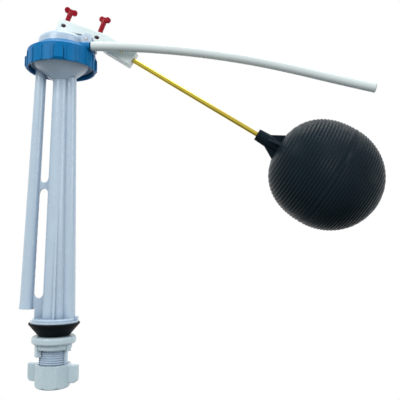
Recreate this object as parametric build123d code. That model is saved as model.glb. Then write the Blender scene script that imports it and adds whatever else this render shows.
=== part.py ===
from build123d import *
import math
import os

# Float valve for a toilet tank. Millimetres, +Z up.
# The origin is on the column axis where the shank passes the tank floor: z = 0 is the outer
# face of the floor, with the lock nut below it and the cone washer above it.
# The float arm points along +X and swings in the XZ plane.

# ---------------------------------------------------------------- clearances
RUNNING = 0.05          # radial gap of a shaft that turns or slides in its hole
THREAD_GAP = 0.10       # radial gap between a nut's bore and the thread crests inside it
FACE_GAP = 0.05         # gap between faces of pieces that turn against each other
SIDE_GAP = 0.50         # gap on each side of the arm between its ears
NEAR_GAP = 0.25         # gap where two pieces pass close by without touching

# ---------------------------------------------------------------- shank and tank fixings
SHANK_LENGTH = 33.0
SHANK_RADIUS = 11.9     # at the thread crests
SHANK_BORE = 6.2
THREAD_PITCH = 1.81
THREAD_DEPTH = 0.8
STRIP_START = 10.5      # the smooth strips down the thread begin this far from the axis
WASHER_HEIGHT = 10.2    # cone washer, from the tank floor to the body flange
WASHER_FOOT = 12.9
WASHER_RIM = 21.3
WASHER_LIP = 0.9        # the lip that stands up around the flange
WASHER_LIP_WALL = 1.2
FLANGE_RADIUS = 20.0
FLANGE_THICK = 2.3
STEP_RADIUS = 18.0
STEP_THICK = 2.0
TAB_WIDTH = 4.0         # the locating tab at the flange's edge
TAB_RISE = 3.5
NUT_FLANGE_RADIUS = 18.4
NUT_FLANGE_THICK = 6.4
NUT_BARREL = 15.2
NUT_BARREL_DEPTH = 4.6
NUT_EAR_REACH = 15.8
NUT_EAR_WIDTH = 5.6
NUT_EARS = ((217.0, 10.1), (338.0, 5.8))    # each ear's azimuth and its depth below the flange
COUPLING_TOP = 23.3     # below the tank floor
COUPLING_HEIGHT = 19.3
COUPLING_RADIUS = 15.1  # at the corners of the eight sides
COUPLING_ROUND = 3.0
COUPLING_FLOOR = 2.8
COUPLING_HOLE = 8.5
COUPLING_TURN = -63.0   # azimuth of one corner
WING_REACH = 22.4
WING_WIDTH = 5.0
WING_HEIGHT = 15.0
WING_AZIMUTH = -11.0
WING_ROUND = 4.0
SUPPLY_WASHER_BORE = 6.6
FRICTION_THICK = 0.6

# ---------------------------------------------------------------- column
COLUMN_HEIGHT = 207.2   # from the top of the flange to the neck of the bowl
COLUMN_FOOT = 10.4      # the riser's outer radius at its foot and at its neck
COLUMN_NECK = 7.0
RISER_BORE_TOP = 4.6
FIN_WIDTH = 2.0
FIN_X = 2.0             # the fin stands a little to the right of the middle
FIN_FOOT = 1.5          # how far the front fin stands proud at its foot
FIN_HEIGHT = 96.0
SIDE_TUBE_FOOT = 5.8    # the right passage, fused to the riser
SIDE_TUBE_NECK = 4.8
SIDE_FOOT_X = 11.8
SIDE_NECK_X = 8.8
SIDE_WALL = 1.7
SIDE_WINDOW = 5.0       # the passage's outlet at the back, just above the flange
OUTLET_FOOT = 5.85      # the left outlet tube's outer radius at its mouth and at the bowl
OUTLET_NECK = 4.7
OUTLET_WALL = 1.15
OUTLET_FOOT_X = -24.3
OUTLET_NECK_X = -17.9
OUTLET_MOUTH = 7.5      # the mouth's height above the top of the flange
OUTLET_LAND = 6.0       # the straight socket inside the mouth
OUTLET_FLARE = 0.45
WEB_THICK = 3.0
WEB_TOP = 16.5          # top of the lower web above the flange
BRIDGE_HEIGHT = 113.5   # middle of the upper bridge above the flange
BRIDGE_WAIST = 5.3

# ---------------------------------------------------------------- bowl, seat and rim
BOWL_DEPTH = 13.7
BOWL_STEP = 2.8         # how far the rim's thread stands out beyond the bowl
BOWL_WALL = 2.8
RIM_HEIGHT = 6.6
RIM_RADIUS = 28.0       # at the rim's thread crests
RIM_PITCH = 2.6
RIM_THREAD_DEPTH = 0.8
RIM_WALL = 4.5
TOWER_RADIUS = 7.5
TOWER_BELOW_RIM = 1.5
SEAT_RADIUS = 5.6
SEAT_BORE = 3.2
SEAT_DEPTH = 6.5        # how deep the seat sits in the tower
SEAT_FLANGE = 0.8
SEAT_LIP = 1.0
SEAL_CORD = 0.68        # radius of the small o-rings' section

# ---------------------------------------------------------------- bonnet, ring nut
GASKET_THICK = 1.5
GASKET_WIDTH = 3.2
FLANGE_EDGE = 0.4       # the bonnet flange's radial gap to the ring
BONNET_FLANGE_THICK = 2.5
BONNET_LEDGE = 2.5      # width of the flange that the ring clamps
BONNET_SHOULDER = 4.2   # how far the bonnet's cone rises from its base to the drum
DECK_HEIGHT = 6.0       # top of the stop's ledge above the bonnet's flange
BONNET_ROOF = 2.5
BONNET_INSET = 2.0      # the cavity's edge inside the bowl's rim
BONNET_TAPER = 4.5      # how much the cavity narrows up to the roof
DRUM_RADIUS = 20.4
DRUM_HEIGHT = 9.8       # above the deck
DRUM_ROUND = 4.6
DRUM_BORE = 15.3
DRUM_ROOF = 3.8
GUIDE_RADIUS = 7.6
GUIDE_BORE = 5.0
RING_WALL = 1.5         # between the ribs
RING_SKIRT = 4.0        # how far it hangs below the bowl's rim
RING_WALL_TOP = 1.1     # top of the outer wall above the bonnet's flange
RING_CONE_RISE = 5.7
RING_LIP = 0.5          # width of the flat edge around the drum
RING_EDGE_ROUND = 1.0
RIB_COUNT = 18
RIB_START = -90.0       # azimuth of the first rib
RIB_WIDTH = 2.0
RIB_PROUD = 0.6
RIB_SHORT = 2.8         # how far the ribs stop below the outer wall's top
LUG_COUNT = 4
LUG_START = -80.0       # azimuth of the first lug
LUG_WIDTH = 7.8
LUG_PROUD = 1.5
LUG_HEIGHT = 10.0

# ---------------------------------------------------------------- float arm
PIVOT_X = 23.4
PIVOT_RISE = 6.0        # above the deck
PIN_RADIUS = 1.5
PIN_HEAD = 2.3
HUB_RADIUS = 5.2
EAR_THICK = 2.4
EAR_RADIUS = 4.8
LEDGE_REACH = 30.5
LEDGE_WIDTH = 9.0
LEDGE_THICK = 3.4
ARM_WIDTH = 11.5
LEVER_TILT = 19.9       # degrees below the horizontal, towards the float
LEVER_TOP = 10.75       # the lever's upper edge above the pivot, across the lever
LEVER_BACK = 29.65      # its back end behind the pivot, along the lever
BLOCK_TILT = 31.5       # the rod and its block, degrees below the horizontal
BLOCK_HALF = 6.9
BLOCK_AHEAD = 44.2      # middle of the block's end face, along and below the lever's line
BLOCK_BELOW = 1.9
WINDOW_LONG = 4.6
WINDOW_HIGH = 3.2
SLOT_LONG = 3.6
SLOT_HIGH = 2.2
SLOT_BACK = 12.0        # from the block's end face
ARM_ROUND = 1.0

# ---------------------------------------------------------------- thumb screws
SCREW_RADIUS = 2.3
SCREW_PITCH = 1.25
SCREW_THREAD = 0.22
SCREW_TIP = 1.7
LEVEL_SCREW_BACK = 25.0     # behind the pivot, along the lever
STOP_SCREW_AHEAD = 6.6
LEVEL_HEAD_RISE = 21.3      # middle of the head above the pivot, across the lever
STOP_HEAD_RISE = 24.6
HEAD_SPAN = 11.8
HEAD_LOBE = 2.6
HEAD_THICK = 3.0
LEVEL_HEAD_TURN = 15.0
STOP_HEAD_TURN = -25.0
PLUNGER_TRAVEL = 2.76

# ---------------------------------------------------------------- float
ROD_RADIUS = 2.1
ROD_LENGTH = 152.4
ROD_IN_BLOCK = 13.2
ROD_IN_NECK = 10.0
ROD_NUT_ACROSS = 7.0
ROD_NUT_THICK = 3.0
BALL_RADIUS = 47.0
BALL_NEAR = 50.5        # the near half's length along the rod
BALL_FAR = 49.0
BALL_WALL = 2.2
BALL_RIB_PITCH = 2.6
BALL_RIB_DEPTH = 0.65
NECK_RADIUS = 5.3
NECK_LENGTH = 21.0      # beyond the ball's end
NECK_PLAIN = 10.8
NECK_FIN = 12.5
NECK_FIN_THICK = 2.0
INSERT_RADIUS = 3.7
INSERT_LENGTH = 14.0

# ---------------------------------------------------------------- refill tube
TUBE_RADIUS = 4.0
TUBE_BORE = 2.5
TUBE_Y = -12.6
NIPPLE_RADIUS = 2.0
NIPPLE_BARB = 2.45
NIPPLE_BARB_LENGTH = 3.0
NIPPLE_IN_TUBE = 7.0
COLLAR_RADIUS = 3.4
COLLAR_THICK = 0.6
COLLAR_X = 28.4
BOSS_RADIUS = 3.8
BOSS_REACH = 27.8
NIPPLE_PASSAGE = 1.0
TUBE_DROP = 3.0         # the nipple's axis below the deck
# The tube's route from the nipple's collar: x, y, z of each corner, in millimetres.
TUBE_ROUTE = [
    (0, 0, 0),
    (15.0, 0, 0),
    (39.2, -0.3, -0.9),
    (73.0, -0.9, -3.6),
    (108.8, -1.7, -8.2),
    (144.7, -2.4, -14.4),
    (181.0, -3.2, -22.8),
    (216.8, -3.8, -32.0),
    (245.7, -4.2, -38.8),
]

# ---------------------------------------------------------------- levels
Z_FLANGE = WASHER_HEIGHT
Z_STEP = Z_FLANGE + FLANGE_THICK
Z_COLUMN = Z_STEP + STEP_THICK
Z_NECK = Z_COLUMN + COLUMN_HEIGHT
Z_RIM = Z_NECK + BOWL_DEPTH
Z_RIM_TOP = Z_RIM + RIM_HEIGHT
Z_BONNET = Z_RIM_TOP + GASKET_THICK
Z_CLAMP = Z_BONNET + BONNET_FLANGE_THICK
Z_RING_WALL = Z_CLAMP + RING_WALL_TOP
Z_RING_TOP = Z_RING_WALL + RING_CONE_RISE
Z_RING_FOOT = Z_RIM - RING_SKIRT
Z_DECK = Z_CLAMP + DECK_HEIGHT
Z_ROOF = Z_DECK - BONNET_ROOF
Z_DRUM_TOP = Z_DECK + DRUM_HEIGHT
Z_PIVOT = Z_DECK + PIVOT_RISE
Z_TOWER = Z_RIM_TOP - TOWER_BELOW_RIM
Z_SEAT = Z_TOWER + SEAT_FLANGE + SEAT_LIP
Z_TUBE = Z_DECK - TUBE_DROP
Z_MOUTH = Z_COLUMN + OUTLET_MOUTH
Z_SHANK_END = -SHANK_LENGTH
Z_COUPLING_TOP = -COUPLING_TOP
Z_COUPLING_FOOT = Z_COUPLING_TOP - COUPLING_HEIGHT
RING_BORE = RIM_RADIUS + THREAD_GAP * 2
RING_RADIUS = RING_BORE + RING_WALL
BOWL_RADIUS = RIM_RADIUS - BOWL_STEP
WASHER_BORE = SHANK_RADIUS + THREAD_GAP
NUT_BORE = SHANK_RADIUS + THREAD_GAP
BONNET_FLANGE = RING_BORE - FLANGE_EDGE
BONNET_BASE = BONNET_FLANGE - BONNET_LEDGE
BONNET_CAVITY = RIM_RADIUS - RIM_WALL - BONNET_INSET
BONNET_THROAT = BONNET_CAVITY - BONNET_TAPER
RING_MOUTH = DRUM_RADIUS + NEAR_GAP
ARM_HALF = ARM_WIDTH / 2
EAR_INNER = ARM_HALF + SIDE_GAP
EAR_OUTER = EAR_INNER + EAR_THICK
PIVOT = Vector(PIVOT_X, 0, Z_PIVOT)
OVER = 1.0              # how far a cutting tool runs past the face it cuts

CENTRED_FOOT = (Align.CENTER, Align.CENTER, Align.MIN)


# ---------------------------------------------------------------- helpers
def turned(outline):
    """A solid of revolution about Z from (radius, z) points."""
    return revolve(make_face(Polyline(*[(r, 0, z) for r, z in outline], close=True)), Axis.Z)


def tube_of(radius, bore, low, high):
    """A plain ring or pipe about Z."""
    return turned([(bore, low), (radius, low), (radius, high), (bore, high)])


def rod_of(radius, low, high):
    """A plain round bar about Z."""
    return Pos(0, 0, low) * Cylinder(radius, high - low, align=CENTRED_FOOT)


def tapered(start, end, radius_start, radius_end):
    """A cone frustum from one point to another."""
    axis = end - start
    return Plane(origin=start, z_dir=axis) * Cone(
        radius_start, radius_end, axis.length, align=CENTRED_FOOT
    )


def straight(start, end, radius):
    """A round bar from one point to another."""
    axis = end - start
    return Plane(origin=start, z_dir=axis) * Cylinder(radius, axis.length, align=CENTRED_FOOT)


def block(x, y, z):
    """A box from its (low, high) pairs."""
    size = [pair[1] - pair[0] for pair in (x, y, z)]
    middle = [(pair[1] + pair[0]) / 2 for pair in (x, y, z)]
    return Pos(*middle) * Box(*size)


def ring_edges(solid, radius, z):
    """The circular edges about Z with this radius at this height."""
    return solid.edges().filter_by(
        lambda e: e.geom_type == GeomType.CIRCLE
        and abs(e.radius - radius) < 0.01
        and abs(e.arc_center.Z - z) < 0.01
    )


def thread_outline(low, high, crest, depth, pitch):
    """The saw-tooth side of a thread drawn as parallel rings, from low to high."""
    count = int((high - low) / pitch)
    points = []
    for i in range(count):
        z = low + i * pitch
        points += [
            (crest - depth, z),
            (crest, z + 0.38 * pitch),
            (crest, z + 0.52 * pitch),
            (crest - depth, z + 0.9 * pitch),
        ]
    return points


def along(value, low, high, at_low, at_high):
    """Straight-line change of a size between two levels."""
    return at_low + (at_high - at_low) * (value - low) / (high - low)


def save(solid, name):
    """Write one piece to its own file."""
    export_step(solid, f"parts/{name}.step")


# ---------------------------------------------------------------- frames of the arm
def lever_point(ahead, above, y=0.0):
    """A point given along and across the lever, from the pivot."""
    tilt = math.radians(LEVER_TILT)
    x = ahead * math.cos(tilt) + above * math.sin(tilt)
    z = above * math.cos(tilt) - ahead * math.sin(tilt)
    return PIVOT + Vector(x, y, z)


BLOCK_END = lever_point(BLOCK_AHEAD, -BLOCK_BELOW)
ROD_AXIS = Vector(math.cos(math.radians(BLOCK_TILT)), 0, -math.sin(math.radians(BLOCK_TILT)))
ROD_ACROSS = Vector(math.sin(math.radians(BLOCK_TILT)), 0, math.cos(math.radians(BLOCK_TILT)))
SCREW_AXIS = Vector(math.sin(math.radians(LEVER_TILT)), 0, math.cos(math.radians(LEVER_TILT)))


def block_point(ahead, above):
    """A point given along and across the rod, from the middle of the block's end face."""
    return BLOCK_END + ROD_AXIS * ahead + ROD_ACROSS * above


# ---------------------------------------------------------------- valve body
def riser_radius(z):
    """The riser's outer radius at a height."""
    return along(z, Z_COLUMN, Z_NECK, COLUMN_FOOT, COLUMN_NECK)


def outlet_x(z):
    """The left outlet tube's centre at a height."""
    return along(z, Z_MOUTH, Z_RIM, OUTLET_FOOT_X, OUTLET_NECK_X)


def outlet_radius(z):
    """The left outlet tube's outer radius at a height."""
    return along(z, Z_MOUTH, Z_RIM, OUTLET_FOOT, OUTLET_NECK)


def shank_and_flange():
    """The threaded shank, the plain stretch inside the washer and the two-step flange."""
    outline = [(0, Z_SHANK_END), (SHANK_RADIUS - THREAD_DEPTH, Z_SHANK_END)]
    outline += thread_outline(
        Z_SHANK_END + THREAD_DEPTH, -FACE_GAP, SHANK_RADIUS, THREAD_DEPTH, THREAD_PITCH
    )
    outline += [
        (SHANK_RADIUS - THREAD_DEPTH, 0),
        (SHANK_RADIUS - THREAD_DEPTH / 2, 0),
        (SHANK_RADIUS - THREAD_DEPTH / 2, Z_FLANGE),
        (FLANGE_RADIUS, Z_FLANGE),
        (FLANGE_RADIUS, Z_STEP),
        (STEP_RADIUS, Z_STEP),
        (STEP_RADIUS, Z_COLUMN),
        (0, Z_COLUMN),
    ]
    solid = turned(outline)
    return fillet(ring_edges(solid, STEP_RADIUS, Z_COLUMN), STEP_THICK * 0.4)


def shank_flats():
    """The two smooth strips that run down the thread, on the left and on the right."""
    strips = rod_of(SHANK_RADIUS - 0.04, Z_SHANK_END + THREAD_DEPTH, -NEAR_GAP)
    return strips - block(
        (-STRIP_START, STRIP_START), (-SHANK_RADIUS, SHANK_RADIUS), (Z_SHANK_END, OVER)
    )


def bowl():
    """The funnel under the rim, with the rim's thread and the seat's tower inside."""
    outline = [(0, Z_NECK - BOWL_WALL), (COLUMN_NECK, Z_NECK - BOWL_WALL), (COLUMN_NECK, Z_NECK)]
    outline += [(BOWL_RADIUS, Z_RIM), (RIM_RADIUS - RIM_THREAD_DEPTH, Z_RIM)]
    outline += thread_outline(Z_RIM + 0.4, Z_RIM_TOP - 0.4, RIM_RADIUS, RIM_THREAD_DEPTH, RIM_PITCH)
    outline += [(RIM_RADIUS - RIM_THREAD_DEPTH, Z_RIM_TOP), (0, Z_RIM_TOP)]
    inner = RIM_RADIUS - RIM_WALL
    slope = BOWL_DEPTH / (BOWL_RADIUS - COLUMN_NECK)
    z_side = Z_RIM + BOWL_WALL
    foot = TOWER_RADIUS + BOWL_WALL
    cavity = turned([
        (TOWER_RADIUS, z_side - (inner - foot) * slope),
        (foot, z_side - (inner - foot) * slope),
        (inner, z_side),
        (inner, Z_RIM_TOP + OVER),
        (0, Z_RIM_TOP + OVER),
        (0, Z_TOWER),
        (TOWER_RADIUS, Z_TOWER),
    ])
    return turned(outline) - cavity


def fin():
    """The thin fin down the front of the riser, fading out upwards."""
    foot = riser_radius(Z_COLUMN)
    top = Z_COLUMN + FIN_HEIGHT
    outline = [
        (FIN_X, -foot - FIN_FOOT, Z_COLUMN - OVER),
        (FIN_X, -foot - FIN_FOOT, Z_COLUMN),
        (FIN_X, -riser_radius(top) + 0.4, top),
        (FIN_X, -riser_radius(top) * 0.8, top),
        (FIN_X, -foot * 0.8, Z_COLUMN - OVER),
    ]
    face = make_face(Polyline(*outline, close=True))
    return extrude(face, FIN_WIDTH / 2, dir=(1, 0, 0), both=True)


def bridge(z):
    """A web between the riser and the outlet tube, waisted above and below."""
    left, right = outlet_x(z), -riser_radius(z)
    gap_low = left + outlet_radius(z)
    half_gap = (right - gap_low) / 2
    middle = (right + gap_low) / 2
    height = BRIDGE_WAIST / 2 + half_gap
    half = WEB_THICK / 2
    web = block((left, right + SIDE_WALL), (-half, half), (z - height, z + height))
    for side in (-1, 1):
        web -= Pos(middle, 0, z + side * height) * Rot(90, 0, 0) * Cylinder(half_gap, WEB_THICK * 2)
    return web


def lower_web():
    """The web between the outlet tube's mouth, the riser and the flange."""
    top = Z_COLUMN + WEB_TOP
    left, right = outlet_x(top), -riser_radius(top)
    gap_low = left + outlet_radius(top)
    half_gap = (right - gap_low) / 2
    half = WEB_THICK / 2
    edge = outlet_x(Z_MOUTH) + OUTLET_FOOT + OUTLET_FLARE + 1.0
    web = block((left, right + SIDE_WALL), (-half, half), (Z_MOUTH + OVER, top + half_gap))
    web -= Pos((right + gap_low) / 2, 0, top + half_gap) * Rot(90, 0, 0) * Cylinder(
        half_gap, WEB_THICK * 2
    )
    return web + block((edge, right + SIDE_WALL), (-half, half), (Z_COLUMN - OVER, Z_MOUTH + 2 * OVER))


def valve_body():
    """One moulding: shank, flange, riser, side passage, outlet tube, webs and bowl."""
    body = shank_and_flange() + bowl()
    for strip in shank_flats().solids():
        body += strip
    body += tapered(
        Vector(0, 0, Z_COLUMN - OVER), Vector(0, 0, Z_NECK),
        riser_radius(Z_COLUMN - OVER), COLUMN_NECK,
    )
    side_low = Vector(SIDE_FOOT_X, 0, Z_COLUMN - OVER)
    side_high = Vector(SIDE_NECK_X, 0, Z_NECK + BOWL_WALL)
    body += tapered(side_low, side_high, SIDE_TUBE_FOOT, SIDE_TUBE_NECK)
    mouth = Vector(outlet_x(Z_MOUTH), 0, Z_MOUTH)
    socket_top = Vector(outlet_x(Z_RIM), 0, Z_RIM)
    body += tapered(mouth, socket_top, OUTLET_FOOT, OUTLET_NECK)
    up = (socket_top - mouth).normalized()
    body += tapered(
        mouth, mouth + up * OUTLET_LAND, OUTLET_FOOT + OUTLET_FLARE, outlet_radius(Z_MOUTH + OUTLET_LAND)
    )
    body += fin()
    body += bridge(Z_COLUMN + BRIDGE_HEIGHT)
    body += lower_web()
    body += block(
        (STEP_RADIUS - 1.2, FLANGE_RADIUS), (-TAB_WIDTH / 2, TAB_WIDTH / 2),
        (Z_STEP - OVER, Z_STEP + TAB_RISE),
    )
    # waterways
    body -= rod_of(SHANK_BORE, Z_SHANK_END - OVER, Z_COLUMN)
    body -= tapered(Vector(0, 0, Z_COLUMN), Vector(0, 0, Z_NECK), SHANK_BORE, RISER_BORE_TOP)
    body -= rod_of(RISER_BORE_TOP, Z_NECK, Z_TOWER + OVER)
    body -= rod_of(SEAT_RADIUS, Z_TOWER - SEAT_DEPTH, Z_TOWER + OVER)
    passage_low = side_low + Vector(0, 0, OVER + SIDE_WALL)
    passage_high = side_high + Vector(0, 0, BOWL_WALL)
    body -= tapered(
        passage_low, passage_high,
        SIDE_FOOT_X - SHANK_BORE - SIDE_WALL, SIDE_NECK_X - RISER_BORE_TOP - SIDE_WALL * 0.6,
    )
    body -= block(
        (SIDE_FOOT_X - 2.0, SIDE_FOOT_X + 2.0),
        (0, SIDE_TUBE_FOOT + OVER),
        (Z_COLUMN + SIDE_WALL, Z_COLUMN + SIDE_WALL + SIDE_WINDOW),
    )
    body -= tapered(mouth, socket_top + up * BOWL_WALL, OUTLET_FOOT - OUTLET_WALL, OUTLET_NECK - OUTLET_WALL)
    body -= straight(mouth - up * OVER, mouth + up * OUTLET_LAND, OUTLET_FOOT - OUTLET_WALL)
    return body


def valve_seat():
    """The hard seat pressed into the tower, with a groove for its o-ring and a raised lip."""
    low = Z_TOWER - SEAT_DEPTH
    groove = low + 1.5
    depth = 2 * SEAL_CORD + 0.04
    return turned([
        (SEAT_BORE, low), (SEAT_RADIUS, low),
        (SEAT_RADIUS, groove), (SEAT_RADIUS - depth, groove),
        (SEAT_RADIUS - depth, groove + depth), (SEAT_RADIUS, groove + depth),
        (SEAT_RADIUS, Z_TOWER), (TOWER_RADIUS - 0.5, Z_TOWER),
        (TOWER_RADIUS - 0.5, Z_TOWER + SEAT_FLANGE), (SEAT_BORE + 1.3, Z_TOWER + SEAT_FLANGE),
        (SEAT_BORE + 0.7, Z_SEAT), (SEAT_BORE, Z_SEAT),
    ])


def seat_o_ring():
    """The o-ring in the seat's groove."""
    depth = 2 * SEAL_CORD + 0.04
    z = Z_TOWER - SEAT_DEPTH + 1.5 + depth / 2
    return Pos(0, 0, z) * Torus(SEAT_RADIUS - depth / 2, SEAL_CORD)


# ---------------------------------------------------------------- plunger
Z_FOOT_RUBBER = Z_SEAT + PLUNGER_TRAVEL + FACE_GAP
RUBBER_THICK = 2.5
RUBBER_RADIUS = SEAT_BORE + 1.6
RUBBER_PROUD = 0.6
FOOT_RADIUS = RUBBER_RADIUS + 1.4
FOOT_HEIGHT = 3.4
STEM_RADIUS = GUIDE_BORE - RUNNING
Z_LEVEL_TIP = lever_point(-LEVEL_SCREW_BACK, -1.07).Z
Z_STEM_TOP = Z_LEVEL_TIP - SCREW_TIP - 0.02
Z_STEM_SEAL = Z_DRUM_TOP - 4.5


def plunger():
    """The stem that the arm pushes down, with the cup that holds the seat rubber."""
    foot = Z_FOOT_RUBBER + RUBBER_PROUD
    recess = Z_FOOT_RUBBER + RUBBER_THICK
    groove = 2 * SEAL_CORD + 0.04
    return turned([
        (0, recess), (RUBBER_RADIUS, recess), (RUBBER_RADIUS, foot), (FOOT_RADIUS, foot),
        (FOOT_RADIUS, foot + FOOT_HEIGHT), (STEM_RADIUS, foot + FOOT_HEIGHT),
        (STEM_RADIUS, Z_STEM_SEAL), (STEM_RADIUS - groove, Z_STEM_SEAL),
        (STEM_RADIUS - groove, Z_STEM_SEAL + groove), (STEM_RADIUS, Z_STEM_SEAL + groove),
        (STEM_RADIUS, Z_STEM_TOP - 0.8), (STEM_RADIUS - 0.8, Z_STEM_TOP), (0, Z_STEM_TOP),
    ])


def seat_rubber():
    """The disc that closes on the seat's lip."""
    return rod_of(RUBBER_RADIUS, Z_FOOT_RUBBER, Z_FOOT_RUBBER + RUBBER_THICK)


def plunger_o_ring():
    """The o-ring that seals the stem in its guide."""
    groove = 2 * SEAL_CORD + 0.04
    return Pos(0, 0, Z_STEM_SEAL + groove / 2) * Torus(STEM_RADIUS - groove / 2, SEAL_CORD)


# ---------------------------------------------------------------- bonnet and ring nut
def bonnet_gasket():
    """The flat rubber ring between the bowl's rim and the bonnet."""
    inner = RIM_RADIUS - RIM_WALL + 0.1
    return tube_of(inner + GASKET_WIDTH, inner, Z_RIM_TOP, Z_BONNET)


def nipple_point(x):
    """A point on the refill nipple's axis."""
    return Vector(x, TUBE_Y, Z_TUBE)


def bonnet():
    """The cap with the drum, the stem's guide, the pivot ears and the stop's ledge."""
    cap = turned([
        (0, Z_BONNET), (BONNET_FLANGE, Z_BONNET), (BONNET_FLANGE, Z_CLAMP), (BONNET_BASE, Z_CLAMP),
        (DRUM_RADIUS, Z_CLAMP + BONNET_SHOULDER), (DRUM_RADIUS, Z_DRUM_TOP), (0, Z_DRUM_TOP),
    ])
    cap = fillet(ring_edges(cap, DRUM_RADIUS, Z_DRUM_TOP), DRUM_ROUND)
    cap -= turned([
        (0, Z_BONNET - OVER), (BONNET_CAVITY, Z_BONNET - OVER), (BONNET_CAVITY, Z_CLAMP),
        (BONNET_THROAT, Z_ROOF), (0, Z_ROOF),
    ])
    cap -= rod_of(DRUM_BORE, Z_ROOF - OVER, Z_DRUM_TOP - DRUM_ROOF)
    ears = block((DRUM_BORE, PIVOT_X + EAR_RADIUS), (-EAR_OUTER, EAR_OUTER), (Z_ROOF, Z_PIVOT))
    ears += Pos(PIVOT_X, 0, Z_PIVOT) * Rot(90, 0, 0) * Cylinder(EAR_RADIUS, 2 * EAR_OUTER)
    ears += block((DRUM_BORE, PIVOT_X), (-EAR_OUTER, EAR_OUTER), (Z_PIVOT, Z_PIVOT + EAR_RADIUS * 0.6))
    cap += ears - rod_of(DRUM_BORE, Z_BONNET, Z_DRUM_TOP + EAR_RADIUS)
    cap += block(
        (DRUM_RADIUS - OVER, LEDGE_REACH), (-LEDGE_WIDTH / 2, LEDGE_WIDTH / 2),
        (Z_DECK - LEDGE_THICK, Z_DECK),
    )
    slot_back = PIVOT_X - HUB_RADIUS - SIDE_GAP
    cap -= block((slot_back, LEDGE_REACH + OVER), (-EAR_INNER, EAR_INNER), (Z_DECK, Z_DRUM_TOP + 10))
    cap -= Pos(PIVOT_X, 0, Z_PIVOT) * Rot(90, 0, 0) * Cylinder(PIN_RADIUS, 4 * EAR_OUTER)
    cap -= straight(nipple_point(0), nipple_point(COLLAR_X), NIPPLE_PASSAGE)
    cap += rod_of(GUIDE_RADIUS, Z_ROOF + 1.0, Z_DRUM_TOP - DRUM_ROOF + OVER)
    return cap - rod_of(GUIDE_BORE, Z_BONNET, Z_DRUM_TOP + OVER)


def ring_room():
    """The room inside the ring nut: the bowl's rim, the bonnet's flange, its cone and the drum."""
    shoulder = Z_CLAMP + BONNET_SHOULDER + FACE_GAP
    return turned([
        (0, Z_RING_FOOT - OVER), (RING_BORE, Z_RING_FOOT - OVER), (RING_BORE, Z_CLAMP + FACE_GAP),
        (BONNET_BASE + NEAR_GAP, Z_CLAMP + FACE_GAP), (RING_MOUTH, shoulder),
        (RING_MOUTH, Z_DRUM_TOP), (0, Z_DRUM_TOP),
    ])


def ring_lug():
    """One of the grips on the ring's skirt, square above and bevelled below."""
    inner = RING_RADIUS - 1.0
    top = Z_RING_FOOT + LUG_HEIGHT
    profile = [
        (inner, 0, Z_RING_FOOT),
        (RING_RADIUS, 0, Z_RING_FOOT),
        (RING_RADIUS + LUG_PROUD, 0, Z_RING_FOOT + LUG_PROUD * 1.2),
        (RING_RADIUS + LUG_PROUD, 0, top),
        (RING_RADIUS, 0, top + 0.6),
        (inner, 0, top + 0.6),
    ]
    return extrude(make_face(Polyline(*profile, close=True)), LUG_WIDTH / 2, dir=(0, 1, 0), both=True)


def union_ring():
    """The ring nut that clamps the bonnet: ribs, lugs, a coned top and the refill nipple."""
    ring = turned([
        (0, Z_RING_FOOT), (RING_RADIUS, Z_RING_FOOT), (RING_RADIUS, Z_RING_WALL),
        (RING_MOUTH + RING_LIP, Z_RING_TOP), (0, Z_RING_TOP),
    ])
    ring = fillet(ring_edges(ring, RING_RADIUS, Z_RING_WALL), RING_EDGE_ROUND)
    rib = block(
        (RING_RADIUS - 1.0, RING_RADIUS + RIB_PROUD), (-RIB_WIDTH / 2, RIB_WIDTH / 2),
        (Z_RING_FOOT + 0.6, Z_RING_WALL - RIB_SHORT),
    )
    lug = ring_lug()
    ring += [Rot(0, 0, RIB_START + i * 360 / RIB_COUNT) * rib for i in range(RIB_COUNT)]
    ring += [Rot(0, 0, LUG_START + i * 360 / LUG_COUNT) * lug for i in range(LUG_COUNT)]
    ring += straight(nipple_point(SEAT_RADIUS), nipple_point(BOSS_REACH), BOSS_RADIUS)
    ring -= ring_room()
    ring -= block(
        (DRUM_RADIUS / 2, RING_RADIUS + OVER), (-EAR_OUTER - NEAR_GAP, EAR_OUTER + NEAR_GAP),
        (Z_DECK - LEDGE_THICK - NEAR_GAP, Z_DRUM_TOP),
    )
    tip_x = COLLAR_X + COLLAR_THICK + NIPPLE_IN_TUBE
    ring += straight(nipple_point(BOSS_REACH - OVER), nipple_point(tip_x), NIPPLE_RADIUS)
    ring += straight(nipple_point(COLLAR_X), nipple_point(COLLAR_X + COLLAR_THICK), COLLAR_RADIUS)
    ring += tapered(
        nipple_point(tip_x - NIPPLE_BARB_LENGTH), nipple_point(tip_x), NIPPLE_BARB, NIPPLE_RADIUS - 0.2
    )
    return ring - straight(nipple_point(0), nipple_point(tip_x + OVER), NIPPLE_PASSAGE)


# ---------------------------------------------------------------- float arm and screws
def arm_outline():
    """The arm's side view, as points in the XZ plane."""
    end_top = block_point(0, BLOCK_HALF)
    end_foot = block_point(0, -BLOCK_HALF)
    return [
        lever_point(-LEVER_BACK, -1.3),
        lever_point(-LEVER_BACK, LEVER_TOP - 1.6),
        lever_point(-LEVER_BACK + 1.6, LEVER_TOP),
        lever_point(15.0, LEVER_TOP),
        end_top,
        end_foot,
        block_point(-24.0, -BLOCK_HALF),
        lever_point(11.0, -0.9),
        lever_point(4.0, -1.0),
        lever_point(-4.0, 2.0),
        lever_point(-HUB_RADIUS - 0.6, 2.8),
    ]


def side_hole(middle, tilt, long, high):
    """A slot through the arm from side to side, rounded at its ends."""
    hole = SlotOverall(long, high)
    return middle_plane(middle, tilt) * extrude(hole, ARM_WIDTH, both=True)


def middle_plane(middle, tilt):
    """The plane of the arm's side view at a point, its X along the tilted edge."""
    slope = math.radians(tilt)
    return Plane(origin=middle, x_dir=(math.cos(slope), 0, -math.sin(slope)), z_dir=(0, -1, 0))


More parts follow.
